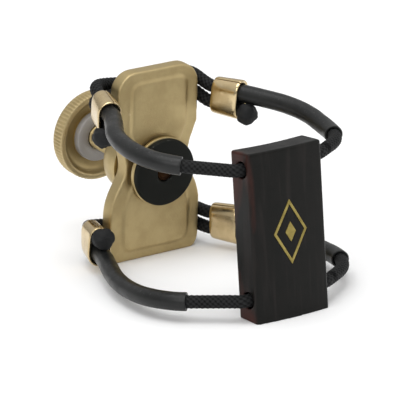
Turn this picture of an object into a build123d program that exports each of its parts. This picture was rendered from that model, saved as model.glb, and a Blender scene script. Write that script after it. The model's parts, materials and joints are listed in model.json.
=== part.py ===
"""Cord ligature for a saxophone mouthpiece: plate, thrust screw, two cord rings and a reed block.

Frame: X across the plate, +Y from the reed block towards the knob, +Z along the mouthpiece.
The origin is on the mouthpiece's axis, on the surface that the ligature stands on.
"""

import math
import os
from dataclasses import dataclass

from build123d import *

os.makedirs("parts", exist_ok=True)

# ---------------------------------------------------------------- driving dimensions, mm
GAUGE = 25.7  # pad to block across the ring, at half height
PLATE_LENGTH = 30.0  # plate's length along the mouthpiece
PLATE_LEAN = 4.5  # degrees, the plate follows the mouthpiece's taper
BLOCK_LEAN = 4.5

# body plate
PLATE_LOW_HALF = 8.1
PLATE_WAIST_HALF = 5.7
PLATE_TOP_HALF = 7.2
PLATE_THICK = 2.7
PLATE_CORNER = 2.4
CREST_CORNER = 3.2
FOOT_SPARE = 0.4  # plate below the ground, cut off level
SHOULDER_LOW = 7.0  # heights where the waist's sweep starts and ends
SHOULDER_TOP = 20.5
SHOULDER_SLANT = 0.42  # flank runs out at this slope where it meets the straight top part
FIELD_SIDE = 2.2  # border round the raised field
FIELD_END = 1.6
FIELD_RISE = 0.4
FIELD_CORNER = 1.6
BACK_ROUND = 0.75
RIDGE_WIDTH = 0.6  # low ridges that keep the cords in their lanes
RIDGE_RISE = 0.7
RIDGE_ROOT = 0.2  # how deep the ridges start inside the plate
RIDGE_CLEAR = 0.15
RIDGE_HALF = 4.2

# thrust screw
SCREW_HEIGHT = 14.2  # along the plate
SCREW_R = 1.95
THREAD_PITCH = 0.7
THREAD_TURNS = 12  # knob's turns over its travel
RUNNING = 0.05  # radial clearance of a running fit
SEATED = 0.01  # radial clearance of a seated fit
BUSH_BASE_R = 6.0
BUSH_NOSE_R = 5.4
BUSH_REACH = 4.2  # behind the plate
BUSH_SPIGOT_R = 3.6
BUSH_EDGE = 0.7
TRAVEL = THREAD_PITCH * THREAD_TURNS
STOP_GAP = 0.27  # washer to bush at the end of the travel

# knob
KNOB_R = 7.05
KNOB_THICK = 2.5
KNOB_EDGE = 0.35
RIM_R = 6.2
DISH_DEPTH = 1.3
DOME = 0.7
WASHER_R = 4.0
WASHER_THICK = 1.0
KNOB_GRIP = 1.3  # how deep the screw sits in the knob
KNOB_NECK_R = 1.5

# pressure disc
DISC_R = 5.4
DISC_THICK = 0.75
DISC_GAP = 0.5  # from the raised field
PAD_THICK = 0.95
PAD_INSET = 0.2
PAD_HOLE_R = 1.45
NECK_R = 1.0
RETAINER_R = 1.3
RETAINER_THICK = 0.6
END_PLAY = 0.05

# reed block
BLOCK_LENGTH = 24.8
BLOCK_HALF = 6.45
BLOCK_SHIFT = 0.45  # block hangs a little to the right
BLOCK_THICK = 4.6
BLOCK_CROWN = 0.4  # outer face stands out by this at its middle
BLOCK_HOLLOW = 0.65  # inner face is hollow by this at its middle
BLOCK_CORNER = 0.5
BLOCK_ROUND = 0.35
HOLE_R = 1.25
HOLE_TOP = 2.55  # from the top end
HOLE_FOOT = 2.95  # from the foot
HOLE_DEPTH = 2.65  # from the inner edges
MARK_HALF = 2.9
MARK_TALL = 4.8
MARK_BAND = 0.45
MARK_CORE = 0.9
MARK_HEIGHT = 12.4
MARK_DEPTH = 0.25
MARK_PROUD = 0.03

# cords, sleeves and ferrules
CORD_R = 1.0
SLEEVE_BORE_R = 1.05
SLEEVE_R = 1.37
TAIL_TURN = 0.7  # tail's bend past the ferrule's mouth
TAIL_BEND_R = 1.2
TAIL_BLOB_R = 1.5
FERRULE_LENGTH = 4.7
FERRULE_WALL = 0.45
FERRULE_CLEAR = 0.06
FERRULE_LIP = 0.2
STRAND_GAP = 0.13  # between the sleeve and the tail in a ferrule
SLEEVE_IN_FERRULE = 3.2
ENTRY_LEAD = 0.3  # cord between its split and the ferrule
CORD_CLEAR = 0.35  # cord to the cord that it rides over
LANE_CLEAR = 0.15  # cord to the plate's back
EDGE_CLEAR = 0.2  # cord to the plate's side
LANE_TOP = 27.1  # heights of the cord lanes along the plate
LANE_TOP_LOW = 24.0
LANE_FOOT_HIGH = 6.0
LANE_FOOT = 2.6
CROSS_HALF = 5.5  # half the stretch where one strand rides over the other
CROSS_R = 5.0
CORNER_BACK = 1.45  # turn behind the ferrule on to the plate's back
CORNER_BACK_HIGH = 3.45
CORNER_R = 1.1
EDGE_R = 1.8  # turn round the plate's edge
LEAD_LENGTH = 1.2  # bend between the plate's edge and the ferrule
LEAD_R = 2.5
SPLIT_X = 9.3  # where the cords of the sides meet the block's
HOLE_MOUTH_BEND = 0.9  # bend's place outside the block
HOLE_MOUTH_R = 3.0


# ---------------------------------------------------------------- datum planes
def plane_through(y: float, lean: float, outward: int) -> Plane:
    """Plane of a leaning face: local x is X, local y runs up the face, local z looks inward or outward."""
    tilt = math.radians(lean)
    normal = Vector(0, -math.cos(tilt), -outward * math.sin(tilt))
    return Plane(origin=(0, y, 0), x_dir=(1, 0, 0), z_dir=normal)


PAD_FACE = DISC_GAP + FIELD_RISE + DISC_THICK + PAD_THICK
HALF_HEIGHT = PLATE_LENGTH / 2
PLATE_Y = GAUGE / 2 + PAD_FACE + HALF_HEIGHT * math.tan(math.radians(PLATE_LEAN))
BLOCK_Y = -GAUGE / 2 - HALF_HEIGHT * math.tan(math.radians(BLOCK_LEAN))
plate_plane = plane_through(PLATE_Y, PLATE_LEAN, 1)
block_plane = plane_through(BLOCK_Y, BLOCK_LEAN, -1)
block_plane.origin += Vector(BLOCK_SHIFT, 0, 0)


def on_plate(x: float, height: float, front: float) -> Vector:
    """Point by its place on the plate, its height up it and its distance in front of the inner face."""
    return plate_plane.from_local_coords(Vector(x, height, front))


def on_block(x: float, height: float, depth: float) -> Vector:
    """Point by its place on the block, its height up it and its depth behind the inner edges."""
    return block_plane.from_local_coords(Vector(x, height, depth))


def screw_plane(front: float) -> Plane:
    """Plane square to the screw's axis, a distance in front of the plate's inner face."""
    return Plane(on_plate(0, SCREW_HEIGHT, front), x_dir=(1, 0, 0), z_dir=plate_plane.z_dir)


def save(part: Part, name: str) -> None:
    """Label a finished piece and write it."""
    part.label = name
    export_step(part, f"parts/{name}.step")


# ---------------------------------------------------------------- body plate
def hourglass(plane: Plane, inset: float, foot: float, crest: float, corners: list[float]) -> Sketch:
    """Plate's outline from its foot to its crest, with its flanks drawn in by the inset."""
    foot_corner, crest_corner = corners
    low = PLATE_LOW_HALF - inset
    waist = PLATE_WAIST_HALF - inset
    top = PLATE_TOP_HALF - inset
    with BuildSketch(plane) as outline:
        with BuildLine():
            base = Line((0, foot), (low, foot))
            lower = Line(base @ 1, (low, SHOULDER_LOW))
            flank = Spline(
                lower @ 1,
                (waist, SCREW_HEIGHT),
                (top, SHOULDER_TOP),
                tangents=((0, 1), (SHOULDER_SLANT, 1)),
            )
            upper = Line(flank @ 1, (top, crest))
            Line(upper @ 1, (0, crest))
            mirror(about=Plane.YZ)
        make_face()
        for end, corner in ((0, foot_corner), (-1, crest_corner)):
            ends = outline.vertices().filter_by(lambda v: abs(v.X) > 0.5)
            fillet(ends.group_by(Axis.Y)[end], corner)
    return outline.sketch


back = plate_plane.offset(-PLATE_THICK)
front_way = Axis((0, 0, 0), plate_plane.z_dir)
lane_half = CORD_R + RIDGE_CLEAR + RIDGE_WIDTH / 2
ridges = (
    LANE_TOP + lane_half,
    LANE_TOP_LOW - lane_half,
    LANE_FOOT_HIGH + lane_half,
)
with BuildPart() as body_plate:
    corners = [PLATE_CORNER, CREST_CORNER]
    extrude(hourglass(back, 0, -FOOT_SPARE, PLATE_LENGTH, corners), amount=PLATE_THICK)
    fillet(body_plate.faces().sort_by(front_way)[0].edges(), BACK_ROUND)
    field_crest = PLATE_LENGTH - FIELD_END
    corners = [FIELD_CORNER, FIELD_CORNER]
    extrude(hourglass(plate_plane, FIELD_SIDE, FIELD_END, field_crest, corners), amount=FIELD_RISE)
    chamfer(body_plate.faces().sort_by(front_way)[-1].edges(), FIELD_RISE * 0.6)
    with BuildSketch(back.offset(RIDGE_ROOT)):
        for height in ridges:
            with Locations((0, height)):
                Rectangle(2 * RIDGE_HALF, RIDGE_WIDTH)
    extrude(amount=-RIDGE_ROOT - RIDGE_RISE)
    with BuildSketch(back):
        with Locations((0, SCREW_HEIGHT)):
            Circle(BUSH_SPIGOT_R + SEATED)
    extrude(amount=PLATE_THICK + FIELD_RISE, mode=Mode.SUBTRACT)
    split(bisect_by=Plane.XY, keep=Keep.TOP)
save(body_plate.part, "body_plate")

# ---------------------------------------------------------------- thrust screw
bush_back = -PLATE_THICK - BUSH_REACH
with BuildPart() as threaded_bush:
    with BuildSketch(screw_plane(bush_back)):
        Circle(BUSH_NOSE_R)
    with BuildSketch(screw_plane(-PLATE_THICK)):
        Circle(BUSH_BASE_R)
    loft()
    fillet(threaded_bush.faces().sort_by(Axis((0, 0, 0), plate_plane.z_dir))[0].edges(), BUSH_EDGE)
    with BuildSketch(screw_plane(-PLATE_THICK)):
        Circle(BUSH_SPIGOT_R)
    extrude(amount=PLATE_THICK + FIELD_RISE)
    with BuildSketch(screw_plane(bush_back)):
        Circle(SCREW_R + RUNNING)
    extrude(amount=PLATE_THICK + BUSH_REACH + FIELD_RISE, mode=Mode.SUBTRACT)
save(threaded_bush.part, "threaded_bush")

disc_back = FIELD_RISE + DISC_GAP
rim_face = bush_back - STOP_GAP - TRAVEL
with BuildPart() as pressure_disc:
    with BuildSketch(screw_plane(disc_back)):
        Circle(DISC_R)
        Circle(NECK_R + RUNNING, mode=Mode.SUBTRACT)
    extrude(amount=DISC_THICK)
save(pressure_disc.part, "pressure_disc")

with BuildPart() as disc_pad:
    with BuildSketch(screw_plane(disc_back + DISC_THICK)):
        Circle(DISC_R - PAD_INSET)
        Circle(PAD_HOLE_R, mode=Mode.SUBTRACT)
    extrude(amount=PAD_THICK)
save(disc_pad.part, "disc_pad")

retainer_back = disc_back + DISC_THICK + END_PLAY
with BuildPart() as spindle_retainer:
    with BuildSketch(screw_plane(retainer_back)):
        Circle(RETAINER_R)
        Circle(NECK_R + SEATED, mode=Mode.SUBTRACT)
    extrude(amount=RETAINER_THICK)
save(spindle_retainer.part, "spindle_retainer")

screw_back = rim_face - WASHER_THICK - KNOB_GRIP
with BuildPart() as screw_spindle:
    with BuildSketch(screw_plane(screw_back)):
        Circle(KNOB_NECK_R)
    extrude(amount=KNOB_GRIP)
    with BuildSketch(screw_plane(rim_face - WASHER_THICK)):
        Circle(SCREW_R)
    extrude(amount=disc_back - END_PLAY - rim_face + WASHER_THICK)
    with BuildSketch(screw_plane(disc_back - END_PLAY)):
        Circle(NECK_R)
    extrude(amount=retainer_back + RETAINER_THICK - disc_back + END_PLAY)
save(screw_spindle.part, "screw_spindle")

# ---------------------------------------------------------------- knob
with BuildPart() as knob_washer:
    with BuildSketch(screw_plane(rim_face - WASHER_THICK)):
        Circle(WASHER_R)
        Circle(SCREW_R + RUNNING, mode=Mode.SUBTRACT)
    extrude(amount=WASHER_THICK)
save(knob_washer.part, "knob_washer")

knob_axis = screw_plane(rim_face)
with BuildPart() as knob:
    with BuildSketch(Plane(knob_axis.origin, x_dir=(1, 0, 0), z_dir=knob_axis.y_dir)):
        with BuildLine():
            seat = Polyline(
                (0, WASHER_THICK),
                (WASHER_R + RUNNING, WASHER_THICK),
                (WASHER_R + RUNNING, DISH_DEPTH),
                (RIM_R - 0.6, DISH_DEPTH),
                (RIM_R, 0),
                (KNOB_R - KNOB_EDGE, 0),
                (KNOB_R, KNOB_EDGE),
                (KNOB_R, KNOB_THICK - KNOB_EDGE),
                (KNOB_R - KNOB_EDGE, KNOB_THICK),
            )
            dome = TangentArc((0, KNOB_THICK + DOME), seat @ 1, tangent=(1, 0))
            Line(dome @ 0, seat @ 0)
        make_face()
    revolve(axis=Axis(knob_axis.origin, knob_axis.z_dir))
    with BuildSketch(screw_plane(rim_face - WASHER_THICK)):
        Circle(KNOB_NECK_R + SEATED)
    extrude(amount=-KNOB_GRIP - SEATED, mode=Mode.SUBTRACT)
save(knob.part, "knob")

# ---------------------------------------------------------------- reed block

def block_profile(plane: Plane, stand_out: float) -> Sketch:
    """Block's cross-section, hollow inside and crowned outside, with its crown raised by stand_out."""
    with BuildSketch(plane) as profile:
        with BuildLine():
            inner = ThreePointArc((-BLOCK_HALF, 0), (0, -BLOCK_HOLLOW), (BLOCK_HALF, 0))
            outer = ThreePointArc(
                (-BLOCK_HALF, -BLOCK_THICK),
                (0, -BLOCK_THICK - BLOCK_CROWN - stand_out),
                (BLOCK_HALF, -BLOCK_THICK),
            )
            Line(inner @ 0, outer @ 0)
            Line(inner @ 1, outer @ 1)
        make_face()
        fillet(profile.vertices(), BLOCK_CORNER)
    return profile.sketch


def mark_outline(plane: Plane) -> Sketch:
    """Slender lozenge frame with a small lozenge in its middle, a plain ornament."""
    slender = MARK_TALL / MARK_HALF
    lozenges = (
        (MARK_HALF, Mode.ADD),
        (MARK_HALF - MARK_BAND, Mode.SUBTRACT),
        (MARK_CORE, Mode.ADD),
    )
    with BuildSketch(plane) as outline:
        with Locations((0, MARK_HEIGHT)):
            for half, mode in lozenges:
                tall = half * slender
                Polygon((-half, 0), (0, -tall), (half, 0), (0, tall), mode=mode)
    return outline.sketch


block_base = Plane(on_block(0, -1, 0), x_dir=(1, 0, 0), z_dir=block_plane.y_dir)
mark_face = block_plane.offset(BLOCK_THICK + BLOCK_CROWN - MARK_DEPTH)
with BuildPart() as block_ornament:
    extrude(mark_outline(mark_face), amount=2 * MARK_DEPTH)
    extrude(block_profile(block_base, MARK_PROUD), amount=BLOCK_LENGTH + 1, mode=Mode.INTERSECT)
save(block_ornament.part, "block_ornament")

with BuildPart() as reed_block:
    extrude(block_profile(block_base, 0), amount=BLOCK_LENGTH + 1)
    top_end = reed_block.faces().sort_by(Axis((0, 0, 0), block_plane.y_dir))[-1]
    fillet(top_end.edges(), BLOCK_ROUND)
    for height in (HOLE_FOOT, BLOCK_LENGTH - HOLE_TOP):
        hole_start = on_block(-BLOCK_HALF - 1, height, HOLE_DEPTH)
        with BuildSketch(Plane(hole_start, x_dir=(0, 1, 0), z_dir=(1, 0, 0))):
            Circle(HOLE_R)
        extrude(amount=2 * BLOCK_HALF + 2, mode=Mode.SUBTRACT)
    extrude(mark_outline(mark_face), amount=2 * MARK_DEPTH, mode=Mode.SUBTRACT)
    split(bisect_by=Plane.XY, keep=Keep.TOP)
save(reed_block.part, "reed_block")

# ---------------------------------------------------------------- cord rings
pinch = (SLEEVE_R + CORD_R + STRAND_GAP) / 2


@dataclass
class RingSide:
    """One side of a ring, by its sleeved strand's route from the plate round to the block.

    The strand enters the ferrule at entry and goes through bends to the hole's mouth in the block.
    Its sleeve ends sleeve_past beyond the last of sleeve_bends bends. tail_step is from the
    ferrule's mouth to the end of the tail beside the sleeve: across, up and out. sleeve_side is 1
    where the sleeve is above the tail and -1 where it is below. Behind the ferrule the strand goes
    straight back by back to its turn on to the plate's back, or by way of corner, where it hugs the
    edge.
    """

    entry: Vector
    bends: list[Vector]
    radii: list[float]
    sleeve_bends: int
    sleeve_past: float
    tail_step: Vector
    sleeve_side: int
    mouth_bend: Vector
    corner: Vector | None = None
    back: float = CORNER_BACK

    def way(self) -> Vector:
        """Direction of the strands in the ferrule."""
        return (self.bends[0] - self.entry).normalized()

    def ferrule_plane(self, along: float = 0) -> Plane:
        """Plane square to the ferrule, centred between its strands, with its y running up."""
        across = Vector(0, 0, 1).cross(self.way())
        up = self.way().cross(across).normalized()
        middle = self.entry + self.way() * along - up * pinch * self.sleeve_side
        return Plane(middle, x_dir=across, z_dir=self.way())

    def strand(self, along: float, is_tail: bool) -> Vector:
        """Point on a strand's straight stretch, by its distance from the ferrule's rear."""
        plane = self.ferrule_plane(along)
        side = -self.sleeve_side if is_tail else self.sleeve_side
        return plane.origin + plane.y_dir * pinch * side

    def tail_end(self) -> Vector:
        """Centre of the melted blob at the tail's end."""
        plane = self.ferrule_plane(FERRULE_LENGTH)
        plane.origin = self.strand(FERRULE_LENGTH, True)
        return plane.from_local_coords(self.tail_step)

    def rear_run(self, is_tail: bool) -> tuple[list[Vector], list[float]]:
        """Rear strand's points and bend radii from its split to where it turns on to the plate."""
        shift = self.strand(0, is_tail) - self.strand(0, False)
        start = self.strand(-ENTRY_LEAD, is_tail)
        if self.corner is None:
            return [start, self.strand(-self.back, is_tail)], [CORNER_R]
        lead = self.strand(-LEAD_LENGTH, is_tail)
        return [start, lead, self.corner + shift], [LEAD_R, EDGE_R]

    def sleeve_run(self) -> tuple[list[Vector], list[float]]:
        """Sleeve's points and bend radii from inside the ferrule to its open end."""
        last = self.bends[self.sleeve_bends - 1]
        onward = [*self.bends, self.mouth_bend][self.sleeve_bends]
        end = last + (onward - last).normalized() * self.sleeve_past
        start = self.strand(FERRULE_LENGTH - SLEEVE_IN_FERRULE, False)
        return [start, *self.bends[: self.sleeve_bends], end], self.radii[: self.sleeve_bends]

    def split(self) -> Vector:
        """Point between the last bend and the block where the swinging cord meets the block's."""
        last = self.bends[-1]
        share = (abs(last.X) - SPLIT_X) / (abs(last.X) - abs(self.mouth_bend.X))
        return last + (self.mouth_bend - last) * share


def hole_bend(height: float, side: int) -> Vector:
    """Bend just outside the mouth of a block's hole."""
    return on_block(side * (BLOCK_HALF + HOLE_MOUTH_BEND), height, HOLE_DEPTH)


def tube(points: list[Vector], radii: list[float], outer: float, bore: float = 0) -> Sketch:
    """Ring or disc swept along straight runs joined by tangent arcs."""
    with BuildLine() as path:
        FilletPolyline(*points, radius=radii)
    start = Plane(points[0], z_dir=points[1] - points[0])
    with BuildSketch(start) as section:
        Circle(outer)
        if bore:
            Circle(bore, mode=Mode.SUBTRACT)
    return sweep(section.sketch, path=path.line, mode=Mode.PRIVATE)


def by_plate(x: float, ahead: float, z: float) -> Vector:
    """Point of a cord's route, by its distance in front of the plate's foot."""
    return Vector(x, PLATE_Y - ahead, z)


def by_block(x: float, ahead: float, z: float) -> Vector:
    """Point of a cord's route, by its distance in front of the block's foot."""
    return Vector(x, BLOCK_Y + ahead, z)


hole_heights = {"upper": BLOCK_LENGTH - HOLE_TOP, "lower": HOLE_FOOT}
rear_lane = -(PLATE_THICK + CORD_R + LANE_CLEAR)
top_side = PLATE_TOP_HALF + CORD_R
low_side = PLATE_LOW_HALF + CORD_R
sides = {
    "upper_left": RingSide(
        entry=on_plate(-top_side - 1.75, 26.85, rear_lane + 3.23),
        bends=[by_plate(-11.6, 7.05, 25.3), by_plate(-15.8, 14.2, 24.4), by_block(-15.7, 6.2, 23.6)],
        radii=[8, 16, 6.5],
        sleeve_bends=3,
        sleeve_past=3.6,
        tail_step=Vector(-1.5, -0.6, 1.8),
        sleeve_side=1,
        mouth_bend=hole_bend(hole_heights["upper"], -1),
        back=CORNER_BACK_HIGH,
    ),
    "upper_right": RingSide(
        entry=on_plate(top_side + 1.65, 25.7, 0.7),
        bends=[by_plate(16.0, 15.6, 24.1), by_block(15.6, 6.9, 22.3), by_block(13.7, 3.0, 22.4)],
        radii=[16, 5, 5],
        sleeve_bends=2,
        sleeve_past=1.8,
        tail_step=Vector(-1.0, -0.3, 1.8),
        sleeve_side=1,
        mouth_bend=hole_bend(hole_heights["upper"], 1),
        corner=on_plate(top_side + EDGE_CLEAR, LANE_TOP, rear_lane),
    ),
    "lower_left": RingSide(
        entry=on_plate(-low_side - 1.0, 2.95, rear_lane + 1.54),
        bends=[by_plate(-11.7, 3.7, 3.05), by_plate(-15.8, 14.4, 2.2), by_block(-15.7, 5.5, 3.0)],
        radii=[9, 18, 6.5],
        sleeve_bends=3,
        sleeve_past=3.6,
        tail_step=Vector(0, 0.5, 1.8),
        sleeve_side=-1,
        mouth_bend=hole_bend(hole_heights["lower"], -1),
    ),
    "lower_right": RingSide(
        entry=on_plate(low_side + 0.75, 3.0, 1.5),
        bends=[by_plate(16.3, 14.2, 3.0), by_block(16.8, 7.0, 2.8), by_block(14.4, 2.1, 2.9)],
        radii=[16, 5, 5],
        sleeve_bends=2,
        sleeve_past=1.8,
        tail_step=Vector(-0.5, 0.65, 1.8),
        sleeve_side=-1,
        mouth_bend=hole_bend(hole_heights["lower"], 1),
        corner=on_plate(low_side + EDGE_CLEAR, LANE_FOOT, rear_lane),
    ),
}

for name, side in sides.items():
    mouth = FERRULE_LENGTH
    sleeve_points, sleeve_radii = side.sleeve_run()
    with BuildPart() as sleeve:
        add(tube(sleeve_points, sleeve_radii, SLEEVE_R, SLEEVE_BORE_R))
    save(sleeve.part, f"{name}_sleeve")

    cord_start = side.strand(-ENTRY_LEAD, False)
    tail_start = side.strand(-ENTRY_LEAD, True)
    tail_turn = side.strand(mouth + TAIL_TURN, True)
    with BuildPart() as side_cord:
        add(tube([cord_start, *side.bends, side.split()], side.radii, CORD_R))
        add(tube([tail_start, tail_turn, side.tail_end()], [TAIL_BEND_R], CORD_R))
        with Locations(Plane(side.tail_end(), z_dir=side.tail_end() - tail_turn)):
            Sphere(TAIL_BLOB_R)
    save(side_cord.part, f"{name}_cord")

    with BuildPart() as ferrule:
        for along, sleeve_r in ((0, CORD_R), (mouth, SLEEVE_R)):
            with BuildSketch(side.ferrule_plane(along)):
                with Locations((0, pinch * side.sleeve_side)):
                    Circle(sleeve_r + FERRULE_CLEAR + FERRULE_WALL)
                with Locations((0, -pinch * side.sleeve_side)):
                    Circle(CORD_R + FERRULE_CLEAR + FERRULE_WALL)
                make_hull()
        loft()
        ends = ferrule.faces().filter_by(GeomType.PLANE).sort_by(Axis(side.entry, side.way()))
        fillet(ends[0].edges() + ends[-1].edges(), FERRULE_LIP)
        with BuildSketch(side.ferrule_plane()):
            with Locations((0, pinch), (0, -pinch)):
                Circle(CORD_R + FERRULE_CLEAR)
        extrude(amount=mouth, mode=Mode.SUBTRACT)
        with BuildSketch(side.ferrule_plane(mouth)):
            with Locations((0, pinch * side.sleeve_side)):
                Circle(SLEEVE_R + FERRULE_CLEAR)
        extrude(amount=-SLEEVE_IN_FERRULE - FERRULE_CLEAR, mode=Mode.SUBTRACT)
    save(ferrule.part, f"{name}_ferrule")

for ring in hole_heights:
    left = sides[f"{ring}_left"]
    right = sides[f"{ring}_right"]
    front_points = [left.split(), left.mouth_bend, right.mouth_bend, right.split()]
    with BuildPart() as front_cord:
        add(tube(front_points, [HOLE_MOUTH_R] * 2, CORD_R))
    save(front_cord.part, f"{ring}_front_cord")

    left_low, left_low_r = left.rear_run(True)
    right_high, right_high_r = right.rear_run(False)
    left_high, left_high_r = left.rear_run(False)
    right_low, right_low_r = right.rear_run(True)
    over = Vector(0, 2 * CORD_R + CORD_CLEAR, 0)
    middle = (left_high[-1] + right_low[-1]) / 2 + over
    reach = (right_low[-1] - left_high[-1]).normalized() * CROSS_HALF
    with BuildPart() as rear_cord:
        under_points = left_low + right_high[::-1]
        add(tube(under_points, left_low_r + right_high_r[::-1], CORD_R))
        over_points = [*left_high, middle - reach, middle + reach, *right_low[::-1]]
        add(tube(over_points, [*left_high_r, CROSS_R, CROSS_R, *right_low_r[::-1]], CORD_R))
    save(rear_cord.part, f"{ring}_rear_cord")

for name, side in sides.items():
    print(name, "cord bend radii", side.radii, "rear", side.rear_run(False)[1], "tail", TAIL_BEND_R)
print("block cord bend radii", HOLE_MOUTH_R, "crossing", CROSS_R)
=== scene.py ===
"""Finished look of a cord ligature for a saxophone mouthpiece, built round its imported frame.

Everything is in metres, in the frame's own axes: X across the plate, +Y from the reed block to the
knob, +Z along the mouthpiece. Sizes in the classes are in millimetres, multiplied by MM.
"""

import json
import logging
import math
from dataclasses import dataclass, field
from enum import Enum

import bmesh
import bpy
from mathutils import Matrix, Vector, noise


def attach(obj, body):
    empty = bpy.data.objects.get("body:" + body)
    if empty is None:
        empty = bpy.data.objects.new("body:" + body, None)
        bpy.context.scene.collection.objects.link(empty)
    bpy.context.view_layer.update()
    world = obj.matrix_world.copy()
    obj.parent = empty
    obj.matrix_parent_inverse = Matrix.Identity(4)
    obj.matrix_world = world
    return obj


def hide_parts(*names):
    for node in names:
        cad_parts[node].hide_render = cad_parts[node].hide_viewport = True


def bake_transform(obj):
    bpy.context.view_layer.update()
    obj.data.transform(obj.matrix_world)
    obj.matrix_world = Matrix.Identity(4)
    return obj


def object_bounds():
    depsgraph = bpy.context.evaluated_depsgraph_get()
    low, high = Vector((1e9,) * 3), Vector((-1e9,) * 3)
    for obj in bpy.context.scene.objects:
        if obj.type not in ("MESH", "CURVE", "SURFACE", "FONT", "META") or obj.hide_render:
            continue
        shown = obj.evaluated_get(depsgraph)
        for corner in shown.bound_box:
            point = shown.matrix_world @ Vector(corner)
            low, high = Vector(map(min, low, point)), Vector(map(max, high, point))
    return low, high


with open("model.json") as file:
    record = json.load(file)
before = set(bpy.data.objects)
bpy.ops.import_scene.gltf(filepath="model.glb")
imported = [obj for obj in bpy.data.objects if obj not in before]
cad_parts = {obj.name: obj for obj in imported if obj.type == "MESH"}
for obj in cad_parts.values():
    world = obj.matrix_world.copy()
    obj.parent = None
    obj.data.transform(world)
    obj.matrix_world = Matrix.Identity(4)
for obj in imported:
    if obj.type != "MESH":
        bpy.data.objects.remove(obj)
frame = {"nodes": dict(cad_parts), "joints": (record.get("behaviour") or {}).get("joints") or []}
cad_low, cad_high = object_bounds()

MM = 0.001
LOG = logging.getLogger("ligature")
JOINTS = {joint["name"]: joint for joint in frame["joints"]}

Point = tuple[float, float, float]
Color = tuple[float, float, float]


class Slot(Enum):
    """Material slots of the record."""

    SATIN_BRASS = "satin_brass"
    TURNED_BRASS = "turned_brass"
    POLISHED_BRASS = "polished_brass"
    NYLON = "nylon"
    PAD_RUBBER = "pad_rubber"
    SLEEVE_RUBBER = "sleeve_rubber"
    BRAIDED_CORD = "braided_cord"
    DARK_WOOD = "dark_wood"
    GILT_INLAY = "gilt_inlay"


# ---------------------------------------------------------------- node helpers
class NodeMaker:
    """Adds nodes to a tree and joins their sockets."""

    def __init__(self, tree: bpy.types.NodeTree) -> None:
        """Starts on an empty tree."""
        self.tree = tree

    def add(self, kind: str, inputs: dict | None = None, **settings: object) -> bpy.types.Node:
        """Adds one node.

        Args:
            kind: Blender's name of the node type.
            inputs: Values or output sockets by input name or number.
            **settings: Properties of the node itself.

        Returns:
            The new node.
        """
        node = self.tree.nodes.new(kind)
        for name, value in settings.items():
            setattr(node, name, value)
        for name, value in (inputs or {}).items():
            if isinstance(value, bpy.types.NodeSocket):
                self.tree.links.new(value, node.inputs[name])
            else:
                node.inputs[name].default_value = value
        return node

    def math(self, operation: str, *values: object) -> bpy.types.NodeSocket:
        """Adds a Math node on the given values and returns its output."""
        return self.add("ShaderNodeMath", dict(enumerate(values)), operation=operation).outputs[0]

    def span(self, value: object, low: float, high: float, to: tuple[float, float] = (0, 1)) -> object:
        """Maps low...high to the range given by to, smoothly and clamped."""
        inputs = {"Value": value, "From Min": low, "From Max": high, "To Min": to[0], "To Max": to[1]}
        return self.add("ShaderNodeMapRange", inputs, interpolation_type="SMOOTHSTEP").outputs[0]

    def mix(self, share: object, first: Color, second: object) -> bpy.types.NodeSocket:
        """Mixes two colours by share and returns the colour."""
        node = self.add("ShaderNodeMix", {0: share}, data_type="RGBA")
        for index, value in ((6, first), (7, second)):
            if isinstance(value, bpy.types.NodeSocket):
                self.tree.links.new(value, node.inputs[index])
            else:
                node.inputs[index].default_value = (*value, 1)
        return node.outputs[2]


def start_group(name: str, inputs: dict[str, float], outputs: list[str]) -> tuple[NodeMaker, object, object]:
    """Starts a shader group of float sockets.

    Args:
        name: The group's name.
        inputs: Input names with their default values.
        outputs: Output names.

    Returns:
        The group's node maker, its input node and its output node.
    """
    tree = bpy.data.node_groups.new(name, "ShaderNodeTree")
    for label, value in inputs.items():
        socket = tree.interface.new_socket(name=label, in_out="INPUT", socket_type="NodeSocketFloat")
        socket.default_value = value
    for label in outputs:
        tree.interface.new_socket(name=label, in_out="OUTPUT", socket_type="NodeSocketFloat")
    maker = NodeMaker(tree)
    return maker, maker.add("NodeGroupInput"), maker.add("NodeGroupOutput")


def object_point(maker: NodeMaker) -> bpy.types.NodeSocket:
    """Returns the piece's own coordinates."""
    return maker.add("ShaderNodeTexCoord").outputs["Object"]


def build_blasted() -> bpy.types.NodeTree:
    """Builds the group for a fine blasted surface: a sharp grain and a slow clouding."""
    maker, given, result = start_group(
        "blasted_surface", {"Grain Scale": 6000, "Cloud Scale": 260}, ["Grain", "Cloud"]
    )
    point = object_point(maker)
    grain = maker.add(
        "ShaderNodeTexNoise",
        {"Vector": point, "Scale": given.outputs["Grain Scale"], "Detail": 3.0, "Roughness": 0.65},
    )
    cloud = maker.add(
        "ShaderNodeTexNoise",
        {"Vector": point, "Scale": given.outputs["Cloud Scale"], "Detail": 4.0, "Roughness": 0.6},
    )
    maker.tree.links.new(grain.outputs[0], result.inputs["Grain"])
    maker.tree.links.new(maker.span(cloud.outputs[0], 0.3, 0.7), result.inputs["Cloud"])
    return maker.tree


def build_wear_and_corner_shade() -> bpy.types.NodeTree:
    """Builds the group for wear on outer edges and painted shade in the corners between faces."""
    maker, given, result = start_group("edge_wear_and_corner_shade", {"Reach": 0.05, "Break Scale": 1500}, ["Wear", "Corner Shade"])
    point = object_point(maker)
    broken = maker.add(
        "ShaderNodeTexNoise", {"Vector": point, "Scale": given.outputs["Break Scale"], "Detail": 2.0}
    )
    keen = maker.add("ShaderNodeNewGeometry").outputs["Pointiness"]
    outward = maker.math("DIVIDE", maker.math("SUBTRACT", keen, 0.5), given.outputs["Reach"])
    inward = maker.math("MULTIPLY", outward, -1.0)
    ragged = maker.span(broken.outputs[0], 0.2, 0.6, (0.4, 1))
    wear = maker.math("MULTIPLY", maker.span(outward, 0.25, 1.0), ragged)
    maker.tree.links.new(wear, result.inputs["Wear"])
    # The second output is painted shade: a mask that darkens the concave corners between faces.
    maker.tree.links.new(maker.span(inward, 0.25, 1.0), result.inputs["Corner Shade"])
    return maker.tree


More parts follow.
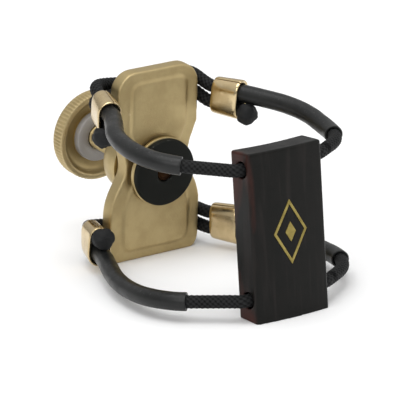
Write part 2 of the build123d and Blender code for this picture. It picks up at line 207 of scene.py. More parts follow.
def build_lathe() -> bpy.types.NodeTree:
    """Builds the group for the lines left by turning about the screw's axis, and for painted shade on its
    inner tip.
    """
    maker, given, result = start_group("lathe_lines", {"Line Scale": 5000}, ["Lines", "Tip Shade"])
    lean = math.asin(-Vector(JOINTS["knob_turn"]["axis"]).normalized().z)
    placed = maker.add(
        "ShaderNodeMapping",
        {"Vector": object_point(maker), "Location": JOINTS["knob_turn"]["pos_m"], "Rotation": (lean, 0, 0)},
        vector_type="TEXTURE",
    )
    split = maker.add("ShaderNodeSeparateXYZ", {0: placed.outputs[0]})
    across = maker.math("MULTIPLY", split.outputs[0], split.outputs[0])
    upward = maker.math("MULTIPLY", split.outputs[2], split.outputs[2])
    radius = maker.math("SQRT", maker.math("ADD", across, upward))
    plane = maker.add("ShaderNodeCombineXYZ", {0: radius, 1: split.outputs[1]})
    lines = maker.add(
        "ShaderNodeTexNoise",
        {"Vector": plane.outputs[0], "Scale": given.outputs["Line Scale"], "Detail": 2.0},
        noise_dimensions="2D",
    )
    maker.tree.links.new(lines.outputs[0], result.inputs["Lines"])
    # Mask of painted shade on the screw's tip, which sits in shadow inside the pad's hole.
    ahead = maker.span(maker.math("ABSOLUTE", split.outputs[1]), 9.6 * MM, 10.2 * MM)
    tip = maker.math("MULTIPLY", ahead, maker.span(radius, 1.35 * MM, 1.5 * MM, (1, 0)))
    maker.tree.links.new(tip, result.inputs["Tip Shade"])
    return maker.tree


def build_wood() -> bpy.types.NodeTree:
    """Builds the group for dense wood along Z: long streaks, short pores and a reddish figure."""
    maker, given, result = start_group(
        "wood_grain", {"Streak Scale": 900, "Pore Scale": 4200}, ["Streak", "Pore", "Figure"]
    )
    point = object_point(maker)
    for label, stretch, scale in (
        ("Streak", (1, 1, 0.05), given.outputs["Streak Scale"]),
        ("Pore", (1, 1, 0.09), given.outputs["Pore Scale"]),
        ("Figure", (1, 1, 0.4), 210.0),
    ):
        drawn = maker.add("ShaderNodeMapping", {"Vector": point, "Scale": stretch}).outputs[0]
        pattern = maker.add(
            "ShaderNodeTexNoise", {"Vector": drawn, "Scale": scale, "Detail": 4.0, "Distortion": 0.3}
        )
        maker.tree.links.new(pattern.outputs[0], result.inputs[label])
    return maker.tree


def build_dust() -> bpy.types.NodeTree:
    """Builds the group for fine dust that lies on what faces up."""
    maker, given, result = start_group("dust", {"Speck Scale": 3500}, ["Dust"])
    facing = maker.add("ShaderNodeSeparateXYZ", {0: maker.add("ShaderNodeNewGeometry").outputs["Normal"]})
    specks = maker.add(
        "ShaderNodeTexNoise",
        {"Vector": object_point(maker), "Scale": given.outputs["Speck Scale"], "Detail": 2.0},
    )
    upward = maker.span(facing.outputs[2], 0.2, 1.0)
    dust = maker.math("MULTIPLY", upward, maker.span(specks.outputs[0], 0.55, 0.8))
    maker.tree.links.new(dust, result.inputs["Dust"])
    return maker.tree


# ---------------------------------------------------------------- finishes
@dataclass(frozen=True)
class Finish:
    """A finish whose colour and gloss cloud slowly over a fine grain."""

    name: str
    color: Color
    cloud_color: Color
    roughness: float
    roughness_spread: float
    metallic: float = 0
    specular: float = 0.5
    grain_scale: float = 6000
    cloud_scale: float = 260
    grain_depth: float = 0.006
    wear_color: Color | None = None
    corner_shade_color: Color | None = None
    # The corner colour below is painted shade, laid into the concave corners between faces.
    dust_color: Color | None = None

    def group(self, maker: NodeMaker, name: str, **inputs: float) -> bpy.types.Node:
        """Adds a shared group to the material."""
        node = maker.add("ShaderNodeGroup", node_tree=bpy.data.node_groups[name])
        for label, value in inputs.items():
            node.inputs[label.replace("_", " ").title()].default_value = value
        return node

    def paint(self, maker: NodeMaker) -> tuple[object, object, object]:
        """Lays out the pattern.

        Args:
            maker: The material's node maker.

        Returns:
            Sockets of the colour, the roughness and the height of the relief.
        """
        surface = self.group(
            maker, "blasted_surface", grain_scale=self.grain_scale, cloud_scale=self.cloud_scale
        )
        cloud = surface.outputs["Cloud"]
        color = maker.mix(cloud, self.color, self.cloud_color)
        low = self.roughness - self.roughness_spread
        rough = maker.span(cloud, 0, 1, (low, self.roughness + self.roughness_spread))
        return color, rough, surface.outputs["Grain"]

    def build(self) -> bpy.types.Material:
        """Makes the material."""
        material = bpy.data.materials.new(self.name)
        material.use_nodes = True
        material.node_tree.nodes.clear()
        maker = NodeMaker(material.node_tree)
        color, rough, height = self.paint(maker)
        if self.wear_color or self.corner_shade_color:
            edges = self.group(maker, "edge_wear_and_corner_shade")
            if self.wear_color:
                color = maker.mix(edges.outputs["Wear"], color, self.wear_color)
            # Painted shade: the corner colour darkens the concave corners between faces.
            if self.corner_shade_color:
                color = maker.mix(edges.outputs["Corner Shade"], color, self.corner_shade_color)
        if self.dust_color:
            color = maker.mix(self.group(maker, "dust").outputs["Dust"], color, self.dust_color)
        bump = maker.add(
            "ShaderNodeBump", {"Height": height, "Strength": 1.0, "Distance": self.grain_depth * MM}
        )
        shader = maker.add(
            "ShaderNodeBsdfPrincipled",
            {
                "Base Color": color,
                "Roughness": rough,
                "Metallic": self.metallic,
                "Specular IOR Level": self.specular,
                "Normal": bump.outputs[0],
            },
        )
        self.adjust(shader)
        maker.add("ShaderNodeOutputMaterial", {"Surface": shader.outputs[0]})
        return material

    def adjust(self, shader: bpy.types.Node) -> None:
        """Sets what only some finishes have; a plain finish has nothing more."""


@dataclass(frozen=True)
class TurnedFinish(Finish):
    """Metal with the fine rings of a lathe tool, with painted shade on the screw's tip inside the pad."""

    # Painted shade: the dark colour of the screw's tip inside the pad.
    tip_shade_color: Color = (0.030, 0.014, 0.006)

    def paint(self, maker: NodeMaker) -> tuple[object, object, object]:
        """Adds the tool lines to the relief and the painted shade on the tip to the colour."""
        color, rough, grain = Finish.paint(self, maker)
        turned = self.group(maker, "lathe_lines")
        # Painted shade on the screw's tip.
        color = maker.mix(turned.outputs["Tip Shade"], color, self.tip_shade_color)
        lines = maker.math("MULTIPLY", turned.outputs["Lines"], 1.4)
        height = maker.math("ADD", lines, maker.math("MULTIPLY", grain, 0.6))
        return color, rough, height


@dataclass(frozen=True)
class WoodFinish(Finish):
    """Dense dark wood, streaked along the block, with a reddish figure on its left side."""

    streak_color: Color = (0.014, 0.012, 0.011)
    figure_color: Color = (0.048, 0.016, 0.012)
    side_start: float = 5.0
    side_end: float = 5.9

    def paint(self, maker: NodeMaker) -> tuple[object, object, object]:
        """Adds streaks, pores and the figure."""
        color, rough, grain = Finish.paint(self, maker)
        wood = self.group(maker, "wood_grain")
        streak = maker.span(wood.outputs["Streak"], 0.5, 0.72)
        color = maker.mix(streak, color, self.streak_color)
        place = maker.add("ShaderNodeSeparateXYZ", {0: object_point(maker)})
        side = maker.span(place.outputs[0], -self.side_start * MM, -self.side_end * MM)
        patch = maker.math("MULTIPLY", side, maker.span(wood.outputs["Figure"], 0.42, 0.6))
        color = maker.mix(patch, color, self.figure_color)
        pore = maker.span(wood.outputs["Pore"], 0.6, 0.75, (1, 0))
        height = maker.math("ADD", pore, maker.math("MULTIPLY", grain, 0.3))
        return color, rough, height


@dataclass(frozen=True)
class BraidFinish(Finish):
    """Braided cord with painted shade between its strands, which the mesh stores as an attribute."""

    # Painted shade: the dark colour of the gaps between the strands.
    gap_shade_color: Color = (0.002, 0.002, 0.002)

    def paint(self, maker: NodeMaker) -> tuple[object, object, object]:
        """Paints shade into the gaps between the strands and dulls them."""
        color, rough, grain = Finish.paint(self, maker)
        strand = maker.add("ShaderNodeAttribute", attribute_name=BRAID_ATTRIBUTE).outputs["Fac"]
        # Painted shade in the gaps between the strands.
        color = maker.mix(maker.span(strand, 0.3, 0.8), self.gap_shade_color, color)
        dull = maker.math("ADD", rough, maker.span(strand, 0.2, 0.9, (0.15, 0)))
        return color, dull, grain


@dataclass(frozen=True)
class NylonFinish(Finish):
    """Milky plastic that lets some light through."""

    def adjust(self, shader: bpy.types.Node) -> None:
        """Sets the scattering inside the plastic."""
        shader.inputs["Transmission Weight"].default_value = 0.25
        shader.inputs["Subsurface Weight"].default_value = 0.4
        shader.inputs["Subsurface Radius"].default_value = (0.8, 0.8, 0.8)
        shader.inputs["Subsurface Scale"].default_value = 0.5 * MM


BRAID_ATTRIBUTE = "strand"

FINISHES = {
    Slot.SATIN_BRASS: Finish(
        "finished_satin_brass", (0.50, 0.395, 0.205), (0.455, 0.355, 0.18), 0.5, 0.05, metallic=1,
        grain_scale=3600, grain_depth=0.04, wear_color=(0.56, 0.45, 0.25), corner_shade_color=(0.41, 0.315, 0.155),
    # The corner colour of this brass is painted shade.
    ),
    Slot.TURNED_BRASS: TurnedFinish(
        "finished_turned_brass", (0.48, 0.38, 0.195), (0.43, 0.335, 0.165), 0.42, 0.05, metallic=1,
        grain_depth=0.006,
    ),
    Slot.POLISHED_BRASS: Finish(
        "finished_polished_brass", (0.66, 0.525, 0.31), (0.58, 0.45, 0.25), 0.2, 0.06, metallic=1,
        # The corner colour of the ferrules' brass is painted shade.
        cloud_scale=500, grain_depth=0.0012, corner_shade_color=(0.30, 0.19, 0.07),
    ),
    Slot.NYLON: NylonFinish("finished_nylon", (0.46, 0.445, 0.43), (0.42, 0.40, 0.385), 0.35, 0.05),
    Slot.PAD_RUBBER: Finish(
        "finished_pad_rubber", (0.0075, 0.0082, 0.0068), (0.010, 0.0108, 0.009), 0.62, 0.08, specular=0.12,
        grain_depth=0.010, dust_color=(0.11, 0.11, 0.10),
    ),
    Slot.SLEEVE_RUBBER: Finish(
        "finished_sleeve_rubber", (0.008, 0.0084, 0.0083), (0.011, 0.0115, 0.011), 0.36, 0.07, specular=0.32,
        grain_depth=0.003, cloud_scale=500, dust_color=(0.05, 0.05, 0.05),
    ),
    Slot.BRAIDED_CORD: BraidFinish(
        "finished_braided_cord", (0.0125, 0.013, 0.0135), (0.018, 0.0185, 0.019), 0.6, 0.08,
        specular=0.16, grain_scale=9000, grain_depth=0.012,
    ),
    Slot.DARK_WOOD: WoodFinish(
        "finished_dark_wood", (0.0058, 0.0060, 0.0052), (0.0085, 0.008, 0.0072), 0.36, 0.06,
        specular=0.13, grain_depth=0.006,
    ),
    Slot.GILT_INLAY: Finish(
        "finished_gilt_inlay", (0.34, 0.27, 0.075), (0.26, 0.20, 0.05), 0.5, 0.1, metallic=0.6,
        grain_depth=0.012, cloud_scale=900,
    ),
}


# ---------------------------------------------------------------- mesh helpers
def new_piece(mesh: bmesh.types.BMesh, name: str, sharp_degrees: float = 40) -> bpy.types.Object:
    """Turns a bmesh into a piece at the origin, smooth but for its sharp edges.

    Args:
        mesh: The finished bmesh, which is freed.
        name: The piece's name.
        sharp_degrees: Edges that turn by more than this stay sharp.

    Returns:
        The new object.
    """
    limit = math.radians(sharp_degrees)
    for face in mesh.faces:
        face.smooth = True
    for edge in mesh.edges:
        edge.smooth = len(edge.link_faces) != 2 or edge.calc_face_angle(0) < limit
    data = bpy.data.meshes.new(name)
    mesh.to_mesh(data)
    mesh.free()
    piece = bpy.data.objects.new(name, data)
    bpy.context.scene.collection.objects.link(piece)
    return piece


def dress(piece: bpy.types.Object, slot: Slot, *nodes: str) -> None:
    """Gives a new piece its finish and says which nodes it stands for.

    Args:
        piece: The new piece.
        slot: Its finish.
        *nodes: CAD nodes that the piece replaces.
    """
    piece.data.materials.clear()
    piece.data.materials.append(bpy.data.materials[FINISHES[slot].name])
    if nodes:
        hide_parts(*nodes)
    LOG.info("piece %s in %s stands for %s", piece.name, slot.value, nodes or "nothing")


def refinish(node: str, slot: Slot) -> None:
    """Gives a carried-over CAD node its finish."""
    material = bpy.data.materials[FINISHES[slot].name]
    piece = frame["nodes"][node]
    for place in piece.material_slots:
        place.material = material
    LOG.info("node %s keeps its shape, in %s", node, slot.value)


def softened(node: str, name: str, voxel: float, passes: int) -> bpy.types.Object:
    """Copies a CAD node and softens its edges, as blasting or polishing does.

    Args:
        node: The CAD node.
        name: The new piece's name.
        voxel: Size of the remesh's cells in millimetres.
        passes: Smoothing passes after it.

    Returns:
        The softened piece.
    """
    mesh = bmesh.new()
    mesh.from_mesh(frame["nodes"][node].data)
    bmesh.ops.remove_doubles(mesh, verts=mesh.verts, dist=0.0005 * MM)
    rough = new_piece(mesh, name + "_rough")
    remesh = rough.modifiers.new("cells", "REMESH")
    remesh.mode = "VOXEL"
    remesh.voxel_size = voxel * MM
    smooth = rough.modifiers.new("soften", "SMOOTH")
    smooth.factor = 0.5
    smooth.iterations = passes
    graph = bpy.context.evaluated_depsgraph_get()
    data = bpy.data.meshes.new_from_object(rough.evaluated_get(graph), depsgraph=graph)
    bpy.data.objects.remove(rough)
    data.name = name
    data.shade_smooth()
    piece = bpy.data.objects.new(name, data)
    bpy.context.scene.collection.objects.link(piece)
    return piece


# ---------------------------------------------------------------- turned pieces
@dataclass
class ThrustScrew:
    """Bush, screw, knob, washer and pressure disc, all turned about the screw's axis."""

    flutes: int = 76
    flute_depth: float = 0.13
    flute_steps: int = 4
    thread_pitch: float = 0.7
    thread_depth: float = 0.24
    screw_radius: float = 1.95
    knob_radius: float = 7.05
    knob_thick: float = 2.5
    knob_dome: float = 0.7
    rim_radius: float = 6.2
    dish_floor_radius: float = 5.55
    dish_depth: float = 1.3
    washer_radius: float = 4.0
    round_steps: int = 96
    axis: Vector = field(init=False)
    origin: Vector = field(init=False)
    frame_matrix: Matrix = field(init=False)

    def __post_init__(self) -> None:
        """Reads the screw's axis from the frame's joint."""
        self.axis = Vector(JOINTS["knob_turn"]["axis"]).normalized()
        self.origin = Vector(JOINTS["knob_turn"]["pos_m"])
        across = Vector((1, 0, 0))
        up = self.axis.cross(across)
        turn = Matrix((across, up, self.axis)).transposed().to_4x4()
        self.frame_matrix = Matrix.Translation(self.origin) @ turn

    def reach(self, node: str) -> tuple[float, float]:
        """Returns where a node starts and ends along the axis, in millimetres."""
        along = [(v.co - self.origin).dot(self.axis) / MM for v in frame["nodes"][node].data.vertices]
        return min(along), max(along)

    def turned(self, profile: list[tuple[float, float]], name: str, steps: int, sharp: float = 40) -> object:
        """Spins a closed or axis-to-axis outline about the screw's axis.

        Args:
            profile: Points as radius and place along the axis, in millimetres.
            name: The piece's name.
            steps: Steps of the spin.
            sharp: Angle above which an edge stays sharp, in degrees.

        Returns:
            The new piece.
        """
        mesh = bmesh.new()
        points = [mesh.verts.new((radius * MM, 0, along * MM)) for radius, along in profile]
        edges = [mesh.edges.new(pair) for pair in zip(points, points[1:])]
        if profile[0][0] > 0 and profile[-1][0] > 0:
            edges.append(mesh.edges.new((points[-1], points[0])))
        bmesh.ops.spin(
            mesh, geom=points + edges, cent=(0, 0, 0), axis=(0, 0, 1), angle=2 * math.pi,
            steps=steps, use_merge=True,
        )
        bmesh.ops.remove_doubles(mesh, verts=mesh.verts, dist=0.0005 * MM)
        bmesh.ops.recalc_face_normals(mesh, faces=mesh.faces)
        self.carve(mesh, name)
        bmesh.ops.transform(mesh, matrix=self.frame_matrix, verts=mesh.verts)
        return new_piece(mesh, name, sharp)

    def carve(self, mesh: bmesh.types.BMesh, name: str) -> None:
        """Cuts the knob's flutes or the screw's thread into a spun shape."""
        for vert in mesh.verts:
            radius = math.hypot(vert.co.x, vert.co.y) / MM
            angle = math.atan2(vert.co.y, vert.co.x)
            scale = 1.0
            if name == "fluted_knob" and radius > self.knob_radius - 0.02:
                wave = 0.5 - 0.5 * math.cos(self.flutes * angle)
                scale = 1 - self.flute_depth * wave / radius
            if name == "threaded_spindle" and abs(radius - self.screw_radius) < 0.02:
                phase = (vert.co.z / MM / self.thread_pitch - angle / (2 * math.pi)) % 1
                scale = 1 - self.thread_depth * abs(2 * phase - 1) / radius
            vert.co.x *= scale
            vert.co.y *= scale

    def build(self) -> None:
        """Builds every turned piece and sets it on its body."""
        self.build_bush()
        self.build_knob()
        self.build_spindle()
        self.build_disc()

    def build_bush(self) -> None:
        """Tapered bush with a rounded nose and a chamfered bore."""
        back, front = self.reach("threaded_bush")
        bore = self.screw_radius + 0.08
        base = back + 4.2
        profile = [
            (bore + 0.25, back), (4.55, back), (4.95, back + 0.1), (5.25, back + 0.32),
            (5.42, back + 0.7), (5.62, back + 2.0), (5.96, base - 0.12), (5.9, base), (3.6, base),
            (3.6, front), (bore, front), (bore, back + 0.25),
        ]
        bush = self.turned(profile, "tapered_bush", self.round_steps, 50)
        dress(bush, Slot.TURNED_BRASS, "threaded_bush")
        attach(bush, "plate")

    def build_knob(self) -> None:
        """Fluted knob with a rim, a dish and a low dome, and its washer."""
        back, face = self.reach("knob")
        crown, edge = self.knob_radius, face - self.knob_thick
        bevel = 0.35
        profile = [
            (0, face - 1.0), (self.washer_radius + 0.05, face - 1.0),
            (self.washer_radius + 0.05, face - self.dish_depth),
            (self.dish_floor_radius - 0.7, face - self.dish_depth),
            (self.dish_floor_radius - 0.25, face - self.dish_depth + 0.1),
            (self.dish_floor_radius + 0.15, face - self.dish_depth + 0.35),
            (self.rim_radius - 0.28, face - 0.55), (self.rim_radius - 0.1, face - 0.2),
            (self.rim_radius, face - 0.06), (self.rim_radius + 0.14, face), (crown - bevel, face),
            (crown - 0.1, face - 0.12), (crown, face - bevel),
            (crown, face - 0.9), (crown, face - 1.5), (crown, edge + bevel),
            (crown - 0.1, edge + 0.12), (crown - bevel, edge),
        ]
        dome_steps = 8
        for step in range(1, dome_steps + 1):
            share = 1 - step / dome_steps
            radius = (crown - bevel) * share
            profile.append((radius, edge - self.knob_dome * (1 - share * share)))
        knob = self.turned(profile, "fluted_knob", self.flutes * self.flute_steps, 35)
        dress(knob, Slot.SATIN_BRASS, "knob")
        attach(knob, "screw")
        low, high = self.reach("knob_washer")
        outer, inner = self.washer_radius, self.screw_radius + 0.05
        ring = [
            (inner, low), (outer, low), (outer, high - 0.2), (outer - 0.06, high - 0.06),
            (outer - 0.2, high), (inner + 0.15, high), (inner, high - 0.15),
        ]
        washer = self.turned(ring, "soft_washer", self.round_steps, 50)
        dress(washer, Slot.NYLON, "knob_washer")
        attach(washer, "screw")

    def build_spindle(self) -> None:
        """Threaded spindle with its plain neck, and the retainer on its end."""
        back, front = self.reach("screw_spindle")
        neck_back = self.reach("spindle_retainer")[0] - 0.85
        start = self.reach("knob_washer")[0] + 0.03
        profile = [(0, back), (1.5, back), (1.5, start)]
        count = round((neck_back - 0.3 - start) / (self.thread_pitch / 8))
        for step in range(count + 1):
            profile.append((self.screw_radius, start + step * (neck_back - 0.3 - start) / count))
        profile += [(1.6, neck_back), (1.0, neck_back), (1.0, front - 0.1), (0.85, front), (0, front)]
        spindle = self.turned(profile, "threaded_spindle", 96, 60)
        dress(spindle, Slot.TURNED_BRASS, "screw_spindle")
        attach(spindle, "screw")
        low, high = self.reach("spindle_retainer")
        ring = [(1.01, low), (1.3, low), (1.3, high - 0.12), (1.18, high), (1.01, high)]
        retainer = self.turned(ring, "retaining_ring", 48, 50)
        dress(retainer, Slot.TURNED_BRASS, "spindle_retainer")
        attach(retainer, "screw")

    def build_disc(self) -> None:
        """Thin disc with a rolled rim, and the rubber pad set into it."""
        low, high = self.reach("pressure_disc")
        disc = [
            (1.05, low), (5.1, low), (5.3, low + 0.08), (5.4, low + 0.25), (5.4, high - 0.06),
            (5.34, high), (1.05, high),
        ]
        plate = self.turned(disc, "pressure_cup", self.round_steps, 50)
        dress(plate, Slot.TURNED_BRASS, "pressure_disc")
        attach(plate, "disc")
        low, high = self.reach("disc_pad")
        pad = [
            (1.45, low), (5.2, low), (5.24, low + 0.3), (5.2, high - 0.22), (5.12, high - 0.07),
            (4.95, high), (1.75, high), (1.52, high - 0.07), (1.45, high - 0.25),
        ]
        cushion = self.turned(pad, "rubber_pad", self.round_steps, 70)
        dress(cushion, Slot.PAD_RUBBER, "disc_pad")
        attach(cushion, "disc")


# ---------------------------------------------------------------- cord rings
class Span(Enum):
    """Stretches that a ring's cord is made in."""

    LEFT_TAIL = "left_tail"
    RIGHT_RUN = "right_run"
    FRONT = "front"
    LEFT_RUN = "left_run"
    RIGHT_TAIL = "right_tail"


@dataclass
class Route:
    """Smooth line of a ring's cord, read from its spline at even steps."""

    points: list[Vector]
    sides: list[Vector]
    step: float

    @classmethod
    def along(cls, name: str, controls: list[Point], step: float) -> "Route":
        """Reads a route from a spline through its control points.

        Args:
            name: Name of the curve while it is made.
            controls: Control points in millimetres.
            step: Distance between the route's points in millimetres.

        Returns:
            The route in metres.
        """
        curve = bpy.data.curves.new(name, "CURVE")
        curve.dimensions = "3D"
        curve.resolution_u = 48
        spline = curve.splines.new("NURBS")
        spline.points.add(len(controls) - 1)
        for point, place in zip(spline.points, controls):
            point.co = (*(value * MM for value in place), 1)
        spline.order_u = 3
        spline.use_endpoint_u = True
        holder = bpy.data.objects.new(name, curve)
        bpy.context.scene.collection.objects.link(holder)
        graph = bpy.context.evaluated_depsgraph_get()
        data = bpy.data.meshes.new_from_object(holder.evaluated_get(graph), depsgraph=graph)
        raw = [vert.co.copy() for vert in data.vertices]
        bpy.data.objects.remove(holder)
        bpy.data.meshes.remove(data)
        points = cls.evened(raw, step * MM)
        return cls(points, cls.carried(points), step * MM)

    @staticmethod
    def evened(raw: list[Vector], step: float) -> list[Vector]:
        """Returns points at even steps along the line read from the spline."""
        points = [raw[0]]
        left = step
        for start, end in zip(raw, raw[1:]):
            length = (end - start).length
            place = left
            while place <= length:
                points.append(start.lerp(end, place / length))
                place += step
            left = place - length
        return points

    @staticmethod
    def carried(points: list[Vector]) -> list[Vector]:
        """Returns a side direction at each point, carried along without twist."""
        ways = [(after - before).normalized() for before, after in zip(points, points[1:])]
        side = ways[0].orthogonal().normalized()
        sides = []
        for way in [*ways, ways[-1]]:
            side = (side - way * side.dot(way)).normalized()
            sides.append(side)
        return sides

    def nearest(self, place: Point | Vector) -> int:
        """Returns the number of the point nearest to a place given in millimetres."""
        target = Vector(place) * MM
        return min(range(len(self.points)), key=lambda index: (self.points[index] - target).length)

    def way(self, index: int) -> Vector:
        """Returns the direction at a point."""
        first = max(index - 1, 0)
        last = min(index + 1, len(self.points) - 1)
        return (self.points[last] - self.points[first]).normalized()


@dataclass
class Ring:
    """One cord ring: cord, sleeves and ferrules, by its route's control points in millimetres.

    The cord runs from the left tail through the left ferrule, behind the plate, through the right
    ferrule and sleeve, through the block, and back by the left sleeve and ferrule to the right tail.
    """

    name: str
    left_tail: list[Point]
    under: list[Point]
    right_run: list[Point]
    left_run: list[Point]
    over: list[Point]
    right_tail: list[Point]
    sleeve_ends: dict[str, Point]
    right_fold: tuple[float, float]
    left_fold: tuple[float, float]
    cord_radius: float = 1.0
    sleeve_radius: float = 1.37
    sleeve_wall: float = 0.31
    blob_radius: float = 1.65
    blob_flatness: float = 0.8
    lump_scale: float = 1.3
    lump_height: float = 0.42
    melted_braid: float = 0.7
    split_x: float = 9.4
    step: float = 0.12
    around: int = 40
    carriers: int = 8
    braid_depth: float = 0.13
    ferrule_length: float = 4.7
    ferrule_wall: float = 0.42
    ferrule_clear: float = 0.06
    ferrule_swell: float = 0.2
    ferrule_steps: int = 30
    pinch: float = 1.25
    route: Route = field(init=False)

    def __post_init__(self) -> None:
        """Reads the ring's route from its spline."""
        controls = [
            *self.left_tail, *self.under, *self.right_run, *self.left_run, *self.over, *self.right_tail
        ]
        self.route = Route.along(self.name + "_route", controls, self.step)

    def build(self) -> None:
        """Builds the ring's pieces and sets its sleeves and ferrules on their bodies."""
        self.build_cord()
        for side in ("left", "right"):
            self.build_sleeve(side)
            self.build_ferrule(side)

    # ------------------------------------------------ cord
    def braid(self, turn: float, along: float) -> float:
        """Height of the braid's strands, 0 in a gap and 1 on a crown.

        Args:
            turn: Angle round the cord.
            along: Distance along the cord in millimetres.

        Returns:
            The height.
        """
        first = (self.carriers * turn + self.carriers * along / self.cord_radius) / (2 * math.pi)
        second = (self.carriers * turn - self.carriers * along / self.cord_radius) / (2 * math.pi)
        near_first, near_second = round(first), round(second)
        up_first = 0.6 + 0.4 * math.cos(math.pi * (second + near_first))
        up_second = 0.6 - 0.4 * math.cos(math.pi * (first + near_second))
        return max(
            math.cos(math.pi * (first - near_first)) * up_first,
            math.cos(math.pi * (second - near_second)) * up_second,
        )

    def swept(self, first: int, last: int, name: str, blob_at: int | None = None) -> bpy.types.Object:
        """Sweeps the braided cord along part of the route.

        Args:
            first: Number of the route's first point.
            last: Number of its last point.
            name: The piece's name.
            blob_at: The route's end that carries the melted blob, or nothing.

        Returns:
            The new piece.
        """
        places = self.placed(first, last, blob_at)
        mesh = bmesh.new()
        layer = mesh.verts.layers.float.new(BRAID_ATTRIBUTE)
        ring, edges = self.first_ring(mesh, self.around)
        bmesh.ops.contextual_create(mesh, geom=ring)
        for number, (centre, way, side, radius, along, plain) in enumerate(places):
            if number:
                ring, edges = self.grown(mesh, ring, edges)
            self.set_ring(ring, layer, centre, way, side, radius, along, plain)
        bmesh.ops.contextual_create(mesh, geom=ring)
        bmesh.ops.recalc_face_normals(mesh, faces=mesh.faces)
        return new_piece(mesh, name, 75)

    def first_ring(self, mesh: bmesh.types.BMesh, count: int) -> tuple[list, list]:
        """Starts a sweep with a circle of vertices and returns them and their edges."""
        ring = bmesh.ops.create_circle(mesh, segments=count, radius=MM)["verts"]
        return ring, list({edge for vert in ring for edge in vert.link_edges})

    def grown(self, mesh: bmesh.types.BMesh, ring: list[object], edges: list[object]) -> tuple[list, list]:
        """Extrudes a ring.

        Args:
            mesh: The piece's mesh.
            ring: The ring's vertices.
            edges: Its edges.

        Returns:
            The new ring's vertices, in the order of those they came from, and its edges.
        """
        geometry = bmesh.ops.extrude_edge_only(mesh, edges=edges)["geom"]
        after = {item for item in geometry if isinstance(item, bmesh.types.BMVert)}
        found = []
        for vert in ring:
            others = (edge.other_vert(vert) for edge in vert.link_edges)
            found.append(next(other for other in others if other in after))
        return found, [item for item in geometry if isinstance(item, bmesh.types.BMEdge)]

    def placed(self, first: int, last: int, blob_at: int | None) -> list[tuple]:
        """Lists the cord's rings: centre, direction, side, radius, distance and how plain they are."""
        route, places = self.route, []
        for index in range(first, last + 1):
            radius, plain = self.cord_radius, 0.0
            if blob_at is not None:
                gap = (index - blob_at) * route.step / MM
                if abs(gap) < self.blob_radius:
                    swell = math.sqrt(self.blob_radius**2 - gap**2)
                    plain = min(1.0, max(0.0, swell - self.cord_radius) * 4)
                    radius = max(radius, swell)
            along = index * route.step / MM
            places.append((route.points[index], route.way(index), route.sides[index], radius, along, plain))
        if blob_at is not None:
            cap = self.cap(blob_at)
            places = [*reversed(cap), *places] if blob_at == first else [*places, *cap]
        return places

    def cap(self, end: int) -> list[tuple]:
        """Lists the rings of the blob past the route's end."""
        route = self.route
        outward = 1 if end else -1
        way, steps = route.way(end), 9
        rings = []
        for number in range(1, steps + 1):
            turn = number / steps * math.pi / 2 * 0.97
            gap = math.sin(turn) * self.blob_radius * self.blob_flatness
            radius = math.cos(turn) * self.blob_radius
            centre = route.points[end] + way * gap * outward * MM
            rings.append((centre, way, route.sides[end], radius, end * route.step / MM + gap * outward, 1.0))
        return rings

    def set_ring(
        self, ring: list, layer: object, centre: Vector, way: Vector, side: Vector,
        radius: float, along: float, plain: float,
    ) -> None:
        """Moves a ring of vertices on to the braided surface and stores its strands' height."""
        up = way.cross(side)
        for number, vert in enumerate(ring):
            turn = 2 * math.pi * number / len(ring)
            height = self.braid(turn, along)
            out = side * math.cos(turn) + up * math.sin(turn)
            lump = noise.noise((centre + out * MM) / MM * self.lump_scale) * self.lump_height * plain
            depth = self.braid_depth * (1 - (1 - self.melted_braid) * plain)
            vert.co = centre + out * (radius - depth * (1 - height) + lump) * MM
            vert[layer] = height * (1 - plain) + 0.8 * plain

    def build_cord(self) -> None:
        """Builds the cord in its five stretches."""
        route, name = self.route, self.name
        last = len(route.points) - 1
        behind = route.nearest([sum(pair) / 2 for pair in zip(*self.under)])
        right_split = route.nearest((self.split_x, *self.split_place()))
        in_sleeve = route.nearest(self.left_run[4])
        above = route.nearest([sum(pair) / 2 for pair in zip(*self.over)])
        overlap = 5
        rear_left = ((-self.left_fold[0], 0, 0), (-self.left_fold[1], 0, 0))
        rear_right = ((0, self.right_fold[0], 0), (0, self.right_fold[1], 0))
        front_left = ((-12.4, 0, 0), (-7.4, 0, 0))
        plan = {
            Span.LEFT_TAIL: (0, behind, 0, "plate", "left_side", rear_left, [f"{name}_rear_cord"]),
            Span.RIGHT_RUN: (
                behind, right_split + overlap, None, "plate", "right_side", rear_right,
                [f"{name}_right_cord"],
            ),
            Span.FRONT: (
                right_split - overlap, in_sleeve, None, "left_side", "front_cords", front_left,
                [f"{name}_front_cord"],
            ),
            Span.LEFT_RUN: (in_sleeve, above, None, "plate", "left_side", rear_left, [f"{name}_left_cord"]),
            Span.RIGHT_TAIL: (above, last, last, "plate", "right_side", rear_right, []),
        }
        for span, (start, end, blob, body, other, fold, nodes) in plan.items():
            piece = self.swept(start, end, f"{name}_cord_{span.value}", blob)
            dress(piece, Slot.BRAIDED_CORD, *nodes)
            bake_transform(piece)

    def split_place(self) -> tuple[float, float]:
        """Returns Y and Z of the place where the right side's cord meets the block's."""
        outer, inner = self.right_run[7], self.right_run[8]
        share = (outer[0] - self.split_x) / (outer[0] - inner[0])
        return tuple(outer[axis] + (inner[axis] - outer[axis]) * share for axis in (1, 2))

